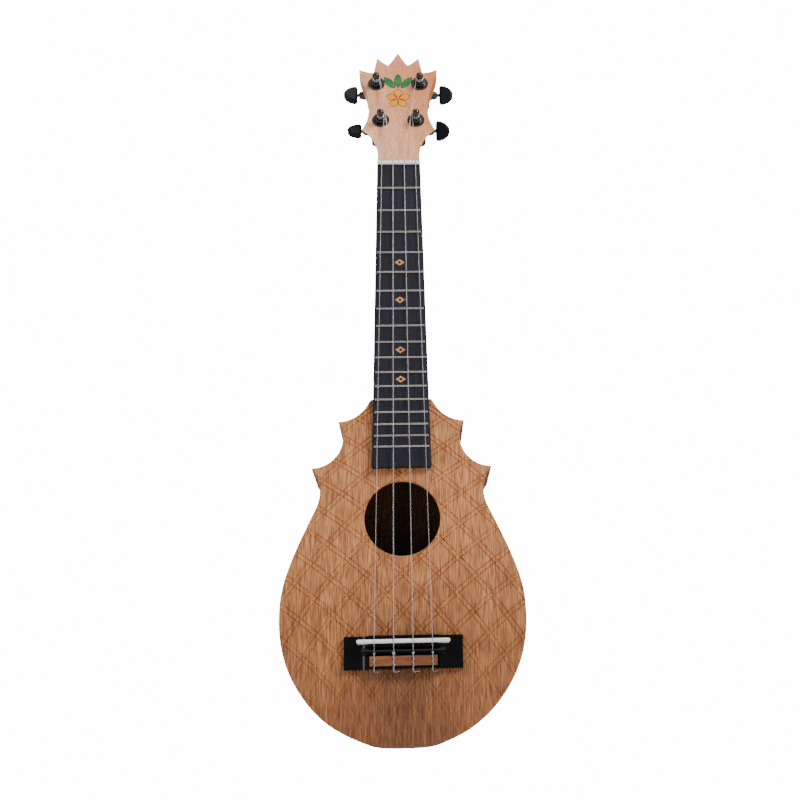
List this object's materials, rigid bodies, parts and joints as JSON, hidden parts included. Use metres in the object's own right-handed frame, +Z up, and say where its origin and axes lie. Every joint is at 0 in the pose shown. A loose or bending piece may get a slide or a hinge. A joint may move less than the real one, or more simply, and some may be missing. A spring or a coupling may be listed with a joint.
{
  "type": "ukulele",
  "caption": "Long-neck soprano ukulele with a crown-shaped headstock, a scalloped pineapple body, a tie-block bridge and geared tuners whose buttons turn the string posts.",
  "frame": {"origin": "middle of the neck at the nut's fretboard edge, on the plane where the fretboard is glued to the neck, which is where a hanger's yoke carries the instrument", "axes": "+X to the viewer's right seen from the front, +Y from the front of the instrument to its back, +Z up the neck to the tip of the headstock"},
  "size_m": [0.1788, 0.0741, 0.5749],
  "materials": {
    "acacia_top": "satin",
    "acacia_body": "satin",
    "pale_neck_wood": "satin",
    "inner_wood": "raw",
    "black_board": "matt",
    "fret_wire": "polished",
    "marker_wood": "satin",
    "white_bone": "satin",
    "black_gloss": "gloss",
    "inlay_wood": "satin",
    "petal_yellow": "satin",
    "leaf_green": "satin",
    "clear_string": "translucent",
    "black_metal": "semi-gloss",
    "black_button": "semi-gloss",
    "wheel_brass": "plain"
  },
  "bodies": {
    "instrument": {"back_braces": "inner_wood", "back_linings": "inner_wood", "back_plate": "acacia_body", "back_strip": "inner_wood", "bridge": "black_gloss", "bridge_plate": "inner_wood", "emblem_leaves": "leaf_green", "emblem_petals": "petal_yellow", "fan_braces": "inner_wood", "fret_marker_dots": "black_board", "fret_markers": "marker_wood", "fretboard": "black_board", "frets": "fret_wire", "heel_cap": "black_board", "left_side": "acacia_body", "lower_brace": "inner_wood", "neck": "pale_neck_wood", "neck_block": "inner_wood", "neck_dowels": "inner_wood", "nut": "white_bone", "right_side": "acacia_body", "saddle": "white_bone", "soundboard": "acacia_top", "string_a": "clear_string", "string_c": "clear_string", "string_e": "clear_string", "string_g": "clear_string", "tail_block": "inner_wood", "tie_block_inlay": "inlay_wood", "top_linings": "inner_wood", "tuner_bushings": "black_metal", "tuner_covers": "black_metal", "tuner_housings": "black_metal", "tuner_screws": "black_metal", "tuner_washers": "black_metal", "upper_brace": "inner_wood"},
    "key_g": {"worm_shaft_g": "black_metal", "button_g": "black_button", "button_screw_g": "black_metal"},
    "post_g": {"string_post_g": "black_metal", "worm_wheel_g": "wheel_brass", "winding_g": "clear_string"},
    "key_c": {"worm_shaft_c": "black_metal", "button_c": "black_button", "button_screw_c": "black_metal"},
    "post_c": {"string_post_c": "black_metal", "worm_wheel_c": "wheel_brass", "winding_c": "clear_string"},
    "key_e": {"worm_shaft_e": "black_metal", "button_e": "black_button", "button_screw_e": "black_metal"},
    "post_e": {"string_post_e": "black_metal", "worm_wheel_e": "wheel_brass", "winding_e": "clear_string"},
    "key_a": {"worm_shaft_a": "black_metal", "button_a": "black_button", "button_screw_a": "black_metal"},
    "post_a": {"string_post_a": "black_metal", "worm_wheel_a": "wheel_brass", "winding_a": "clear_string"}
  },
  "joints": [
    {"name": "key_g_turn", "type": "hinge", "parent": "instrument", "child": "key_g", "pos_m": [-0.0299, 0.02741, 0.05075], "axis": [1, 0, 0], "continuous": true},
    {"name": "post_g_turn", "type": "hinge", "parent": "instrument", "child": "post_g", "pos_m": [-0.0147, 0.00642, 0.04865], "axis": [0, -0.9903, 0.1392], "continuous": true},
    {"name": "key_c_turn", "type": "hinge", "parent": "instrument", "child": "key_c", "pos_m": [-0.0336, 0.03285, 0.08947], "axis": [1, 0, 0], "continuous": true},
    {"name": "post_c_turn", "type": "hinge", "parent": "instrument", "child": "post_c", "pos_m": [-0.0184, 0.01186, 0.08737], "axis": [0, -0.9903, 0.1392], "continuous": true},
    {"name": "key_e_turn", "type": "hinge", "parent": "instrument", "child": "key_e", "pos_m": [0.0336, 0.03285, 0.08947], "axis": [1, 0, 0], "continuous": true},
    {"name": "post_e_turn", "type": "hinge", "parent": "instrument", "child": "post_e", "pos_m": [0.0184, 0.01186, 0.08737], "axis": [0, -0.9903, 0.1392], "continuous": true},
    {"name": "key_a_turn", "type": "hinge", "parent": "instrument", "child": "key_a", "pos_m": [0.0299, 0.02741, 0.05075], "axis": [1, 0, 0], "continuous": true},
    {"name": "post_a_turn", "type": "hinge", "parent": "instrument", "child": "post_a", "pos_m": [0.0147, 0.00642, 0.04865], "axis": [0, -0.9903, 0.1392], "continuous": true}
  ],
  "couplings": [
    {"joint": "post_g_turn", "follows": "key_g_turn", "ratio": -0.076923},
    {"joint": "post_c_turn", "follows": "key_c_turn", "ratio": -0.076923},
    {"joint": "post_e_turn", "follows": "key_e_turn", "ratio": 0.076923},
    {"joint": "post_a_turn", "follows": "key_a_turn", "ratio": 0.076923}
  ]
}
